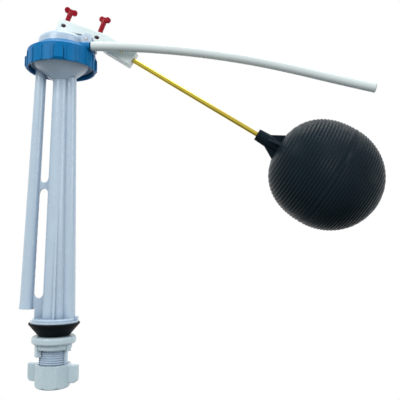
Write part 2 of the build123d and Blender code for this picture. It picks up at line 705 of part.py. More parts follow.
def float_arm():
    """The lever, its hub and the block that the rod screws into."""
    outline = [(p.X, 0, p.Z) for p in arm_outline()]
    face = make_face(Polyline(*outline, close=True))
    arm = extrude(face, ARM_HALF, dir=(0, 1, 0), both=True)
    arm += Pos(PIVOT_X, 0, Z_PIVOT) * Rot(90, 0, 0) * Cylinder(HUB_RADIUS, ARM_WIDTH)
    long_edges = arm.edges().filter_by(
        lambda e: e.geom_type == GeomType.LINE
        and abs(abs(e.center().Y) - ARM_HALF) < 0.01
        and e.length > 12
    )
    arm = fillet(long_edges, ARM_ROUND)
    arm -= Pos(PIVOT_X, 0, Z_PIVOT) * Rot(90, 0, 0) * Cylinder(PIN_RADIUS + RUNNING, ARM_WIDTH * 2)
    for ahead in (-LEVEL_SCREW_BACK, STOP_SCREW_AHEAD):
        arm -= straight(lever_point(ahead, -8), lever_point(ahead, LEVER_TOP + OVER), SCREW_RADIUS + RUNNING)
    arm -= side_hole(lever_point(-LEVEL_SCREW_BACK + 0.5, 5.2), LEVER_TILT, WINDOW_LONG, WINDOW_HIGH)
    arm -= side_hole(lever_point(STOP_SCREW_AHEAD + 0.8, 5.1), LEVER_TILT, WINDOW_LONG, WINDOW_HIGH)
    arm -= straight(block_point(-ROD_IN_BLOCK, 0), block_point(OVER, 0), ROD_RADIUS)
    nut = RegularPolygon(ROD_NUT_ACROSS / 2, 6, major_radius=False)
    pocket = extrude(nut, ROD_NUT_THICK)
    arm -= Plane(origin=block_point(-SLOT_BACK - ROD_NUT_THICK / 2, 0), z_dir=ROD_AXIS) * pocket
    arm -= side_hole(block_point(-SLOT_BACK, 0), BLOCK_TILT, SLOT_LONG, SLOT_HIGH)
    return arm


def thumb_screw(tip, head, turn):
    """A plastic thumb screw with a ball tip, from its tip's centre to its head's centre."""
    length = (head - tip).length
    neck = length - HEAD_LOBE - 1.2
    outline = [(0, 0), (SCREW_TIP - 0.1, 0)]
    outline += thread_outline(1.2, neck - 1.0, SCREW_RADIUS, SCREW_THREAD, SCREW_PITCH)
    outline += [(SCREW_RADIUS, neck - 0.9), (SCREW_RADIUS, length), (0, length)]
    screw = turned(outline) + Sphere(SCREW_TIP)
    reach = HEAD_SPAN / 2 - HEAD_LOBE
    side = Rectangle(2 * reach, 2 * HEAD_LOBE - 0.9)
    for lobe_x in (-reach, reach):
        side += Pos(lobe_x, 0.3) * Circle(HEAD_LOBE)
    side = fillet(side.vertices(), 0.8)
    wings = extrude(side, HEAD_THICK / 2, both=True)
    wings = Rot(90, 0, 0) * fillet(wings.faces().filter_by(Axis.Z).edges(), 0.6)
    screw += Pos(0, 0, length) * Rot(0, 0, turn) * wings
    return Plane(origin=tip, x_dir=(SCREW_AXIS.Z, 0, -SCREW_AXIS.X), z_dir=SCREW_AXIS) * screw


def level_screw():
    """The screw over the plunger, which sets the water level."""
    tip = lever_point(-LEVEL_SCREW_BACK, -1.07)
    return thumb_screw(tip, lever_point(-LEVEL_SCREW_BACK, LEVEL_HEAD_RISE), LEVEL_HEAD_TURN)


def stop_tip_height():
    """How far across the lever the stop screw's tip sits, so that it rests on the ledge."""
    tilt = math.radians(LEVER_TILT)
    rest = Z_DECK + SCREW_TIP + 0.02
    return (rest - Z_PIVOT + STOP_SCREW_AHEAD * math.sin(tilt)) / math.cos(tilt)


def stop_screw():
    """The screw that stops the arm's drop on the bonnet's ledge."""
    tip = lever_point(STOP_SCREW_AHEAD, stop_tip_height())
    return thumb_screw(tip, lever_point(STOP_SCREW_AHEAD, STOP_HEAD_RISE), STOP_HEAD_TURN)


def pivot_pin():
    """The pin through both ears and the arm's hub, with a low head at the back."""
    pin = Pos(PIVOT_X, 0, Z_PIVOT) * Rot(90, 0, 0) * Cylinder(PIN_RADIUS, 2 * EAR_OUTER + 0.6)
    head = Pos(PIVOT_X, EAR_OUTER + 0.5, Z_PIVOT) * Rot(90, 0, 0) * Cylinder(PIN_HEAD, 1.0)
    return pin + head


# ---------------------------------------------------------------- rod and float
ROD_START = block_point(-ROD_IN_BLOCK, 0)
ROD_END = block_point(ROD_LENGTH - ROD_IN_BLOCK, 0)
NECK_END = ROD_END - ROD_AXIS * ROD_IN_NECK
BALL_CENTRE = NECK_END + ROD_AXIS * (NECK_LENGTH + BALL_NEAR)
FLOAT_PLANE = Plane(origin=BALL_CENTRE, x_dir=ROD_ACROSS, z_dir=ROD_AXIS)


def float_rod():
    """The brass rod from the arm's block to the float's neck."""
    rod = straight(ROD_START, ROD_END, ROD_RADIUS)
    return chamfer(rod.edges().filter_by(GeomType.CIRCLE), 0.4)


def rod_nut():
    """The brass nut held in the block, which the rod is screwed through."""
    nut = extrude(RegularPolygon(ROD_NUT_ACROSS / 2, 6, major_radius=False), ROD_NUT_THICK)
    nut -= Cylinder(ROD_RADIUS, ROD_NUT_THICK * 3)
    return Plane(origin=block_point(-SLOT_BACK - ROD_NUT_THICK / 2, 0), z_dir=ROD_AXIS) * nut


def ball_half(near):
    """Half the ball's length along the rod."""
    return BALL_NEAR if near else BALL_FAR


def ball_radius(t, near):
    """The ball's smooth radius at a distance t from its middle; the near half is fuller."""
    power = 2.3 if near else 2.02
    share = min(abs(t) / ball_half(near), 1.0)
    return BALL_RADIUS * (1 - share**power) ** (1 / power)


def ribbed_side(near):
    """The outer side of one half, from its pole to the middle, with its ribs."""
    half = ball_half(near)
    count = round(half / BALL_RIB_PITCH)
    points = []
    for i in range(1, count):
        t = half - i * half / count
        crest = t + half / count / 2
        points.append((ball_radius(crest, near), crest))
        points.append((ball_radius(t, near) - BALL_RIB_DEPTH, t))
    return points


def inner_side(near):
    """The smooth inner side of one half, from the middle to its pole."""
    steps = 12
    inside = ball_half(near) - BALL_WALL
    points = []
    for i in range(steps):
        t = inside * math.sin(math.pi / 2 * i / steps)
        points.append((max(ball_radius(t * ball_half(near) / inside, near) - BALL_WALL, 0), t))
    return points + [(0, inside)]


def half_shell(near):
    """One half of the float about its own axis, open at the middle."""
    outer = [(0, ball_half(near))] + ribbed_side(near) + [(BALL_RADIUS, 0)]
    shell = turned(outer + inner_side(near))
    return (Rot(180, 0, 0) * shell) if near else shell


def float_shell_near():
    """The half with the neck, its four fins and the socket of the brass insert."""
    tip = -BALL_NEAR - NECK_LENGTH
    root = -BALL_NEAR + 2 * BALL_WALL
    neck = rod_of(NECK_RADIUS, tip, root)
    fin_outline = [
        (0, 0, tip + 1.5),
        (NECK_RADIUS, 0, tip + 1.5),
        (NECK_RADIUS + 0.5, 0, tip + NECK_PLAIN),
        (NECK_FIN, 0, -BALL_NEAR + 1.5),
        (NECK_FIN, 0, -BALL_NEAR + 3.5),
        (0, 0, root),
    ]
    profile = make_face(Polyline(*fin_outline, close=True))
    one = extrude(profile, NECK_FIN_THICK / 2, dir=(0, 1, 0), both=True)
    neck += [Rot(0, 0, 90 * i) * one for i in range(4)]
    hollow = turned([(0, 0)] + [(radius, -t) for radius, t in inner_side(True)])
    shell = half_shell(True) + (neck - hollow)
    shell -= rod_of(INSERT_RADIUS, tip - OVER, tip + INSERT_LENGTH)
    return FLOAT_PLANE * shell


def float_shell_far():
    """The closed half, welded to the near one at the middle."""
    return FLOAT_PLANE * half_shell(False)


def float_insert():
    """The brass bush moulded into the neck, which the rod screws into."""
    tip = -BALL_NEAR - NECK_LENGTH
    bush = rod_of(INSERT_RADIUS, tip, tip + INSERT_LENGTH)
    bush -= rod_of(ROD_RADIUS, tip - OVER, tip + ROD_IN_NECK)
    return FLOAT_PLANE * bush


# ---------------------------------------------------------------- tank fixings
def shank_washer():
    """The rubber cone washer, with a cup for the body's flange and a thin lip around it."""
    cup = FLANGE_RADIUS + 0.1
    top = Z_FLANGE + WASHER_LIP
    washer = turned([
        (WASHER_BORE, 0), (WASHER_FOOT, 0), (WASHER_RIM, Z_FLANGE - 0.4),
        (WASHER_RIM, Z_FLANGE + WASHER_LIP / 3), (cup + WASHER_LIP_WALL / 2, top), (cup, top),
        (cup, Z_FLANGE), (WASHER_BORE, Z_FLANGE),
    ])
    return fillet(ring_edges(washer, WASHER_FOOT, 0), 0.5)


def nut_ear(depth):
    """One of the lock nut's ears, hanging from its flange at azimuth 0."""
    foot = -NUT_FLANGE_THICK - depth
    reach = block(
        (NUT_BORE - 0.5, NUT_EAR_REACH + OVER), (-NUT_EAR_WIDTH / 2, NUT_EAR_WIDTH / 2),
        (foot, -NUT_FLANGE_THICK + OVER),
    )
    return reach & rod_of(NUT_EAR_REACH, foot - OVER, -NUT_FLANGE_THICK + 2 * OVER)


def lock_nut():
    """The plastic nut that clamps the tank floor, with two hanging ears."""
    foot = -NUT_FLANGE_THICK - NUT_BARREL_DEPTH
    nut = turned([
        (NUT_BORE, foot), (NUT_BARREL, foot), (NUT_BARREL, -NUT_FLANGE_THICK),
        (NUT_FLANGE_RADIUS, -NUT_FLANGE_THICK), (NUT_FLANGE_RADIUS, -FACE_GAP), (NUT_BORE, -FACE_GAP),
    ])
    nut = fillet(ring_edges(nut, NUT_FLANGE_RADIUS, -FACE_GAP), 2.2)
    nut = fillet(ring_edges(nut, NUT_FLANGE_RADIUS, -NUT_FLANGE_THICK), 1.8)
    nut = fillet(ring_edges(nut, NUT_BARREL, foot), 1.4)
    for azimuth, depth in NUT_EARS:
        nut += Rot(0, 0, azimuth) * nut_ear(depth)
    return nut - rod_of(NUT_BORE, foot - SHANK_LENGTH, OVER)


def coupling_nut():
    """The eight-sided wing nut that holds the supply pipe on the shank's end."""
    octagon = extrude(RegularPolygon(COUPLING_RADIUS, 8), COUPLING_HEIGHT)
    nut = Pos(0, 0, Z_COUPLING_FOOT) * Rot(0, 0, COUPLING_TURN) * octagon
    rounded = rod_of(COUPLING_RADIUS - 0.25, Z_COUPLING_FOOT, Z_COUPLING_TOP)
    rounded = fillet(ring_edges(rounded, COUPLING_RADIUS - 0.25, Z_COUPLING_FOOT), COUPLING_ROUND)
    rounded = fillet(ring_edges(rounded, COUPLING_RADIUS - 0.25, Z_COUPLING_TOP), 0.8)
    nut = nut & rounded
    wings = block(
        (-WING_REACH, WING_REACH), (-WING_WIDTH / 2, WING_WIDTH / 2),
        (Z_COUPLING_TOP - WING_HEIGHT, Z_COUPLING_TOP - 0.3),
    )
    low_edges = wings.edges().filter_by(Axis.Y).filter_by(
        lambda e: abs(e.center().Z - (Z_COUPLING_TOP - WING_HEIGHT)) < 0.01
    )
    wings = fillet(low_edges, WING_ROUND)
    wings = fillet(wings.faces().filter_by(Axis.Y).edges(), 0.7)
    nut += Rot(0, 0, WING_AZIMUTH) * wings
    nut -= rod_of(NUT_BORE, Z_COUPLING_FOOT + COUPLING_FLOOR, Z_COUPLING_TOP + OVER)
    return nut - rod_of(COUPLING_HOLE, Z_COUPLING_FOOT - OVER, Z_COUPLING_TOP)


def friction_ring():
    """The thin ring that lets the coupling nut turn on its rubber washer."""
    low = Z_COUPLING_FOOT + COUPLING_FLOOR + FACE_GAP
    return tube_of(NUT_BORE - 0.3, COUPLING_HOLE, low, low + FRICTION_THICK)


def supply_washer():
    """The rubber cone washer between the shank's end and the supply pipe."""
    low = Z_COUPLING_FOOT + COUPLING_FLOOR + FACE_GAP + FRICTION_THICK
    outer = NUT_BORE - 0.4
    return turned([
        (SUPPLY_WASHER_BORE + 1.6, low), (outer, low), (outer, low + 2.4),
        (SHANK_RADIUS - THREAD_DEPTH - 0.5, Z_SHANK_END), (SUPPLY_WASHER_BORE, Z_SHANK_END),
        (SUPPLY_WASHER_BORE, low + 1.5),
    ])


# ---------------------------------------------------------------- refill tube
def refill_tube():
    """The stiff refill tube: straight runs joined by tangent arcs, hollow from end to end."""
    start = nipple_point(COLLAR_X + COLLAR_THICK)
    points = [start + Vector(*step) for step in TUBE_ROUTE]
    radii = []
    for before, here, after in zip(points, points[1:], points[2:]):
        turn = (here - before).get_angle(after - here)
        shorter = min((here - before).length, (after - here).length)
        radii.append(0.45 * shorter / math.tan(math.radians(turn) / 2))
    path = FilletPolyline(*points, radius=radii)
    section = Plane(origin=start, z_dir=points[1] - start)
    tube = sweep(section * (Circle(TUBE_RADIUS) - Circle(TUBE_BORE)), path)
    area = math.pi * (TUBE_RADIUS**2 - TUBE_BORE**2)
    last = (points[-1] - points[-2]).length * 0.55
    print("refill tube radii", [round(r) for r in radii])
    print("refill tube length", round(path.length, 2), "last run", round(last, 3))
    print("refill tube volume share", round(tube.volume / (area * path.length), 4))
    return tube


PIECES = {
    "valve_body": valve_body,
    "valve_seat": valve_seat,
    "seat_o_ring": seat_o_ring,
    "seat_rubber": seat_rubber,
    "plunger": plunger,
    "plunger_o_ring": plunger_o_ring,
    "bonnet_gasket": bonnet_gasket,
    "bonnet": bonnet,
    "union_ring": union_ring,
    "pivot_pin": pivot_pin,
    "float_arm": float_arm,
    "level_screw": level_screw,
    "stop_screw": stop_screw,
    "float_rod": float_rod,
    "rod_nut": rod_nut,
    "float_shell_near": float_shell_near,
    "float_shell_far": float_shell_far,
    "float_insert": float_insert,
    "shank_washer": shank_washer,
    "lock_nut": lock_nut,
    "coupling_nut": coupling_nut,
    "friction_ring": friction_ring,
    "supply_washer": supply_washer,
    "refill_tube": refill_tube,
}

os.makedirs("parts", exist_ok=True)
for name, make in PIECES.items():
    save(make(), name)
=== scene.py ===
"""Looks of a toilet tank's float valve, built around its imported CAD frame.

Every size is in metres, in the frame's own axes: +Z up the column, +X towards the float.
"""

import logging
import math
from dataclasses import dataclass, field
from enum import Enum

import bpy
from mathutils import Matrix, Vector


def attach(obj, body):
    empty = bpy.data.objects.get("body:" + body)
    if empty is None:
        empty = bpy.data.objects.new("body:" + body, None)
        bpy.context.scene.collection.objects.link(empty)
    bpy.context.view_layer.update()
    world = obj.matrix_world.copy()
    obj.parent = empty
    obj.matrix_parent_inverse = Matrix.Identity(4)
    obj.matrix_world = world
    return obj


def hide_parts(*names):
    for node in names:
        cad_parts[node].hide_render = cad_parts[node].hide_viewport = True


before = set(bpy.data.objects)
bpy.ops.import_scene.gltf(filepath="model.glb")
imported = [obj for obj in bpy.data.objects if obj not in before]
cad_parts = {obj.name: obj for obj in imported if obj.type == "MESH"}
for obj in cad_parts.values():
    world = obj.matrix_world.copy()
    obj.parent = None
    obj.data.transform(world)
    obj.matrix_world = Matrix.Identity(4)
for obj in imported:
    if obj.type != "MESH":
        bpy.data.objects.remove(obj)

LOG = logging.getLogger("float_valve")
Colour = tuple[float, float, float]
Point = tuple[float, float, float]


class Grain(Enum):
    """The relief that a moulding keeps from its mould."""

    POLISHED_MOULD = "polished"
    SPARKED_MOULD = "sparked"


class Body(Enum):
    """The moving bodies that pieces drawn here ride on."""

    TOP = "top"


@dataclass(frozen=True)
class Pattern:
    """A noise pattern: features per metre, octaves, and how strong the fine octaves are."""

    scale: float
    detail: float
    roughness: float


@dataclass(frozen=True)
class Relief:
    """A bump made from a pattern: what a height of 1 stands for, and its strength."""

    pattern: Pattern
    depth: float
    strength: float


FLOW_CLOUDS = Pattern(38.0, 4.0, 0.55)
GLOSS_PATCHES = Pattern(160.0, 5.0, 0.6)
MOULD_RIPPLE = Relief(Pattern(45.0, 1.0, 0.4), 0.0005, 0.2)
MOULD_GRAIN = {
    Grain.SPARKED_MOULD: Relief(Pattern(2600.0, 2.0, 0.6), 0.00008, 0.45),
    Grain.POLISHED_MOULD: Relief(Pattern(700.0, 2.0, 0.4), 0.00003, 0.08),
}
BRASS_LINES = Relief(Pattern(5200.0, 2.0, 0.5), 0.00003, 0.15)
TARNISH_PATCHES = Pattern(70.0, 4.0, 0.6)
TURNING_MARKS = Relief(Pattern(2400.0, 2.0, 0.5), 0.00003, 0.3)
RUBBER_BLOOM = Pattern(220.0, 5.0, 0.65)
RUBBER_GRAIN = Relief(Pattern(1800.0, 3.0, 0.6), 0.00006, 0.5)

ALONG_BAR = (0.02, 1.0, 1.0)
ROUND_PIN = (1.0, 0.1, 1.0)
METAL_EDGE_RADIUS = 0.0002
RUBBER_EDGE_RADIUS = 0.0004
PLASTIC_IOR = 1.49
RUBBER_IOR = 1.5
LOOKUP_SAMPLES = 6

# where each share starts and where it is complete, in the value that drives it
EDGE_SPAN = (0.75, 0.99)
HOLLOW_SPAN = (0.25, 0.95)
TARNISH_SPAN = (0.5, 0.8)
BLOOM_SPAN = (0.42, 0.75)


class MaterialSketch:
    """A material being put together from nodes."""

    def __init__(self, name: str) -> None:
        """Starts an empty material with a Principled shader.

        Args:
            name: The material's name.
        """
        self.material = bpy.data.materials.new(name)
        self.material.use_nodes = True
        self.nodes = self.material.node_tree.nodes
        self.links = self.material.node_tree.links
        self.shader = self.nodes["Principled BSDF"]
        self.where = self.nodes.new("ShaderNodeTexCoord").outputs["Object"]

    def set(self, **values: float | Colour) -> None:
        """Sets plain values on the shader's own sockets.

        Args:
            **values: Socket names with underscores for spaces, and their values.
        """
        for label, value in values.items():
            socket = self.shader.inputs[label.replace("_", " ")]
            socket.default_value = (*value, 1.0) if socket.type == "RGBA" else value

    def stretched(self, stretch: Point, turn: float = 0.0) -> bpy.types.NodeSocket:
        """Gives the object's coordinates, turned about Y and then stretched.

        Args:
            stretch: A factor on each axis.
            turn: Angle about Y, in radians.

        Returns:
            The new coordinates.
        """
        turned = self.nodes.new("ShaderNodeVectorRotate")
        turned.rotation_type = "Y_AXIS"
        turned.inputs["Angle"].default_value = turn
        self.links.new(self.where, turned.inputs["Vector"])
        scaled = self.nodes.new("ShaderNodeMapping")
        scaled.inputs["Scale"].default_value = stretch
        self.links.new(turned.outputs["Vector"], scaled.inputs["Vector"])
        return scaled.outputs["Vector"]

    def noise(self, pattern: Pattern, where: bpy.types.NodeSocket | None = None) -> bpy.types.NodeSocket:
        """Adds a noise texture.

        Args:
            pattern: The noise's size and make-up.
            where: Coordinates, or None for the object's own.

        Returns:
            The noise value, from 0 to 1.
        """
        node = self.nodes.new("ShaderNodeTexNoise")
        node.inputs["Scale"].default_value = pattern.scale
        node.inputs["Detail"].default_value = pattern.detail
        node.inputs["Roughness"].default_value = pattern.roughness
        self.links.new(where or self.where, node.inputs["Vector"])
        return node.outputs["Fac"]

    def spread(
        self, value: bpy.types.NodeSocket, low: float, high: float, start: float = 0.3, end: float = 0.7
    ) -> bpy.types.NodeSocket:
        """Maps a value from start..end to low..high, held at the ends.

        Args:
            value: The value to map.
            low: What start becomes.
            high: What end becomes.
            start: The value's lower end.
            end: The value's upper end.

        Returns:
            The mapped value.
        """
        node = self.nodes.new("ShaderNodeMapRange")
        node.interpolation_type = "SMOOTHSTEP"
        for label, number in (("From Min", start), ("From Max", end), ("To Min", low), ("To Max", high)):
            node.inputs[label].default_value = number
        self.links.new(value, node.inputs["Value"])
        return node.outputs["Result"]

    def blend(
        self,
        share: bpy.types.NodeSocket,
        under: bpy.types.NodeSocket | Colour,
        over: bpy.types.NodeSocket | Colour,
    ) -> bpy.types.NodeSocket:
        """Mixes two colours by a share.

        Args:
            share: 0 for under, 1 for over.
            under: The first colour.
            over: The second colour.

        Returns:
            The mixed colour.
        """
        node = self.nodes.new("ShaderNodeMix")
        node.data_type = "RGBA"
        self.links.new(share, node.inputs["Factor"])
        for label, colour in (("A", under), ("B", over)):
            socket = [s for s in node.inputs if s.name == label and s.type == "RGBA"][0]
            if isinstance(colour, tuple):
                socket.default_value = (*colour, 1.0)
            else:
                self.links.new(colour, socket)
        return [s for s in node.outputs if s.type == "RGBA"][0]

    def rounded_edges(self, radius: float) -> bpy.types.NodeSocket:
        """Gives a normal that rounds sharp edges off.

        Args:
            radius: The edge's radius.

        Returns:
            The softened normal.
        """
        node = self.nodes.new("ShaderNodeBevel")
        node.samples = LOOKUP_SAMPLES
        node.inputs["Radius"].default_value = radius
        return node.outputs["Normal"]

    def edge_share(self, radius: float, strength: float) -> bpy.types.NodeSocket:
        """Gives a share that rises on edges, for edge wear and a painted highlight along them.

        Args:
            radius: How far the wear and the painted highlight reach from an edge.
            strength: The share on the sharpest edges.

        Returns:
            The share, from 0 to strength.
        """
        flat = self.nodes.new("ShaderNodeNewGeometry").outputs["Normal"]
        dot = self.nodes.new("ShaderNodeVectorMath")
        dot.operation = "DOT_PRODUCT"
        self.links.new(self.rounded_edges(radius), dot.inputs[0])
        self.links.new(flat, dot.inputs[1])
        return self.spread(dot.outputs["Value"], strength, 0.0, *EDGE_SPAN)

    def hollow_share(self, reach: float, strength: float) -> bpy.types.NodeSocket:
        """Gives a share that rises in corners and hollows: painted shade on the plastics, tarnish and
        stain in the hollows of the metals.

        Args:
            reach: How far to look for a neighbouring wall.
            strength: The share in the deepest corner.

        Returns:
            The share, from 0 to strength.
        """
        node = self.nodes.new("ShaderNodeAmbientOcclusion")
        node.samples = LOOKUP_SAMPLES
        node.inputs["Distance"].default_value = reach
        return self.spread(node.outputs["AO"], strength, 0.0, *HOLLOW_SPAN)

    def relief(
        self, height: bpy.types.NodeSocket, relief: Relief, normal: bpy.types.NodeSocket
    ) -> bpy.types.NodeSocket:
        """Adds a bump to a normal.

        Args:
            height: The height, from 0 to 1.
            relief: The bump's depth and strength.
            normal: The normal under it.

        Returns:
            The bumped normal.
        """
        node = self.nodes.new("ShaderNodeBump")
        node.inputs["Strength"].default_value = relief.strength
        node.inputs["Distance"].default_value = relief.depth
        self.links.new(height, node.inputs["Height"])
        self.links.new(normal, node.inputs["Normal"])
        return node.outputs["Normal"]

    def feed(self, label: str, value: bpy.types.NodeSocket) -> None:
        """Links a value to one of the shader's sockets.

        Args:
            label: The socket's name.
            value: What it takes.
        """
        self.links.new(value, self.shader.inputs[label])


@dataclass(frozen=True)
class MouldedPlastic:
    """Injection moulded plastic, with flow clouds, edge wear with a painted highlight along edges, and
    painted shade in its hollows.
    """

    name: str
    colour: Colour
    cloud: Colour
    # lighter colour on edges: a painted highlight along edges, partly edge wear
    worn_and_highlit_edge: Colour
    # darker colour in hollows, corners and undersides: painted shade
    painted_shade: Colour = (0.42, 0.44, 0.45)
    grain: Grain = Grain.POLISHED_MOULD
    roughness: float = 0.30
    roughness_spread: float = 0.08
    edge_radius: float = 0.0004
    # reach and share of the painted edge highlight and edge wear
    edge_wear_and_highlight_reach: float = 0.0005
    edge_wear_and_highlight: float = 0.5
    # share of the painted shade in the deepest hollows
    painted_shade_share: float = 0.25
    shade_reach: float = 0.004
    shine: float = 0.5
    glow: float = 0.0
    glow_reach: float = 0.004
    glow_tint: Colour = (1.0, 1.0, 1.0)

    def make(self) -> bpy.types.Material:
        """Builds the material.

        Returns:
            The finished material.
        """
        sketch = MaterialSketch(self.name)
        clouds = sketch.spread(sketch.noise(FLOW_CLOUDS), 0.0, 1.0)
        colour = sketch.blend(clouds, self.colour, self.cloud)
        # painted shade: darker in hollows, corners and undersides, found by an ambient occlusion lookup
        colour = sketch.blend(sketch.hollow_share(self.shade_reach, self.painted_shade_share), colour, self.painted_shade)
        # painted highlight along edges, partly edge wear
        colour = sketch.blend(sketch.edge_share(self.edge_wear_and_highlight_reach, self.edge_wear_and_highlight), colour, self.worn_and_highlit_edge)
        sketch.feed("Base Color", colour)
        low = self.roughness - self.roughness_spread
        high = self.roughness + self.roughness_spread
        sketch.feed("Roughness", sketch.spread(sketch.noise(GLOSS_PATCHES), low, high))
        normal = sketch.rounded_edges(self.edge_radius)
        for relief in (MOULD_RIPPLE, MOULD_GRAIN[self.grain]):
            normal = sketch.relief(sketch.noise(relief.pattern), relief, normal)
        sketch.feed("Normal", normal)
        sketch.set(
            IOR=PLASTIC_IOR,
            Specular_IOR_Level=self.shine,
            Subsurface_Weight=self.glow,
            Subsurface_Scale=self.glow_reach,
        )
        sketch.shader.inputs["Subsurface Radius"].default_value = self.glow_tint
        return sketch.material


@dataclass(frozen=True)
class DrawnBrass:
    """Brass bar as drawn: bright, with fine lines along it and a little tarnish."""

    name: str
    colour: Colour = (0.86, 0.68, 0.10)
    tarnish: Colour = (0.38, 0.26, 0.02)
    roughness: float = 0.15
    smoother: float = 0.05
    rougher: float = 0.07
    patch_share: float = 0.25
    tarnish_reach: float = 0.004
    tarnishing: float = 0.5
    slope: float = math.radians(31.5)

    def make(self) -> bpy.types.Material:
        """Builds the material.

        Returns:
            The finished material.
        """
        sketch = MaterialSketch(self.name)
        lines = sketch.noise(BRASS_LINES.pattern, sketch.stretched(ALONG_BAR, -self.slope))
        patches = sketch.spread(sketch.noise(TARNISH_PATCHES), 0.0, self.patch_share, *TARNISH_SPAN)
        colour = sketch.blend(patches, self.colour, self.tarnish)
        hollows = sketch.hollow_share(self.tarnish_reach, self.tarnishing)
        colour = sketch.blend(hollows, colour, self.tarnish)
        sketch.feed("Base Color", colour)
        low = self.roughness - self.smoother
        high = self.roughness + self.rougher
        sketch.feed("Roughness", sketch.spread(lines, low, high))
        sketch.feed("Normal", sketch.relief(lines, BRASS_LINES, sketch.rounded_edges(METAL_EDGE_RADIUS)))
        sketch.set(Metallic=1.0)
        return sketch.material


@dataclass(frozen=True)
class TurnedSteel:
    """Plain stainless steel with turning marks."""

    name: str
    colour: Colour = (0.26, 0.27, 0.28)
    stain: Colour = (0.12, 0.12, 0.11)
    roughness: float = 0.34
    smoother: float = 0.08
    rougher: float = 0.1
    stain_reach: float = 0.002
    staining: float = 0.6

    def make(self) -> bpy.types.Material:
        """Builds the material.

        Returns:
            The finished material.
        """
        sketch = MaterialSketch(self.name)
        marks = sketch.noise(TURNING_MARKS.pattern, sketch.stretched(ROUND_PIN))
        hollows = sketch.hollow_share(self.stain_reach, self.staining)
        sketch.feed("Base Color", sketch.blend(hollows, self.colour, self.stain))
        low = self.roughness - self.smoother
        high = self.roughness + self.rougher
        sketch.feed("Roughness", sketch.spread(marks, low, high))
        sketch.feed("Normal", sketch.relief(marks, TURNING_MARKS, sketch.rounded_edges(METAL_EDGE_RADIUS)))
        sketch.set(Metallic=1.0)
        return sketch.material


@dataclass(frozen=True)
class PressedRubber:
    """Black rubber with a fine grain and a pale bloom."""

    name: str
    colour: Colour = (0.003, 0.005, 0.007)
    bloom: Colour = (0.009, 0.012, 0.015)
    roughness: float = 0.55
    smoother: float = 0.1
    rougher: float = 0.15
    bloom_share: float = 0.7
    edge_wear_and_highlight_reach: float = 0.0006
    edge_wear_and_highlight: float = 0.5
    shine: float = 0.1

    def make(self) -> bpy.types.Material:
        """Builds the material.

        Returns:
            The finished material.
        """
        sketch = MaterialSketch(self.name)
        bloom = sketch.spread(sketch.noise(RUBBER_BLOOM), 0.0, self.bloom_share, *BLOOM_SPAN)
        colour = sketch.blend(bloom, self.colour, self.bloom)
        # lighter on edges in the bloom's colour: edge wear and a painted highlight
        colour = sketch.blend(sketch.edge_share(self.edge_wear_and_highlight_reach, self.edge_wear_and_highlight), colour, self.bloom)
        sketch.feed("Base Color", colour)
        low = self.roughness - self.smoother
        high = self.roughness + self.rougher
        sketch.feed("Roughness", sketch.spread(bloom, low, high, 0.0, self.bloom_share))
        grain = sketch.noise(RUBBER_GRAIN.pattern)
        sketch.feed("Normal", sketch.relief(grain, RUBBER_GRAIN, sketch.rounded_edges(RUBBER_EDGE_RADIUS)))
        sketch.set(IOR=RUBBER_IOR, Specular_IOR_Level=self.shine)
        return sketch.material


Finish = MouldedPlastic | DrawnBrass | TurnedSteel | PressedRubber

# In the plastic finishes below, the darker hollow colour is painted shade in hollows, corners and
# undersides, and the lighter edge colour is a painted highlight along edges, partly edge wear.
WHITE_PLASTIC = MouldedPlastic(
    "white_polypropylene",
    colour=(0.46, 0.585, 0.705),
    cloud=(0.48, 0.605, 0.725),
    worn_and_highlit_edge=(0.68, 0.79, 0.88),
    painted_shade=(0.17, 0.24, 0.35),
    roughness=0.22,
    edge_wear_and_highlight=0.4,
    painted_shade_share=0.8,
    shade_reach=0.014,
    shine=0.5,
    glow=0.10,
    glow_reach=0.003,
    glow_tint=(0.8, 0.9, 1.0),
)
COOL_PLASTIC = MouldedPlastic(
    "cool_white_polypropylene",
    colour=(0.47, 0.59, 0.65),
    cloud=(0.50, 0.62, 0.68),
    worn_and_highlit_edge=(0.68, 0.79, 0.84),
    painted_shade=(0.20, 0.28, 0.34),
    roughness=0.27,
    edge_wear_and_highlight=0.35,
    painted_shade_share=0.6,
    shade_reach=0.006,
    shine=0.4,
    glow=0.12,
    glow_reach=0.003,
    glow_tint=(0.85, 0.95, 1.0),
)
ARM_PLASTIC = MouldedPlastic(
    "pale_arm_polypropylene",
    colour=(0.64, 0.74, 0.75),
    cloud=(0.67, 0.77, 0.78),
    worn_and_highlit_edge=(0.80, 0.87, 0.88),
    painted_shade=(0.30, 0.36, 0.38),
    roughness=0.27,
    edge_wear_and_highlight=0.35,
    painted_shade_share=0.5,
    shine=0.4,
    glow=0.12,
    glow_reach=0.003,
    glow_tint=(0.85, 0.95, 1.0),
)
BLUE_PLASTIC = MouldedPlastic(
    "blue_polypropylene",
    colour=(0.001, 0.150, 0.39),
    cloud=(0.001, 0.170, 0.43),
    worn_and_highlit_edge=(0.03, 0.30, 0.55),
    painted_shade=(0.002, 0.03, 0.09),
    roughness=0.34,
    edge_wear_and_highlight=0.6,
    painted_shade_share=0.75,
    shade_reach=0.008,
    shine=0.12,
)
RED_PLASTIC = MouldedPlastic(
    "red_acetal",
    colour=(0.26, 0.001, 0.010),
    cloud=(0.30, 0.002, 0.014),
    worn_and_highlit_edge=(0.46, 0.03, 0.06),
    painted_shade=(0.14, 0.001, 0.006),
    roughness=0.26,
    edge_wear_and_highlight=0.4,
    painted_shade_share=0.3,
    edge_radius=0.0003,
    shine=0.2,
)
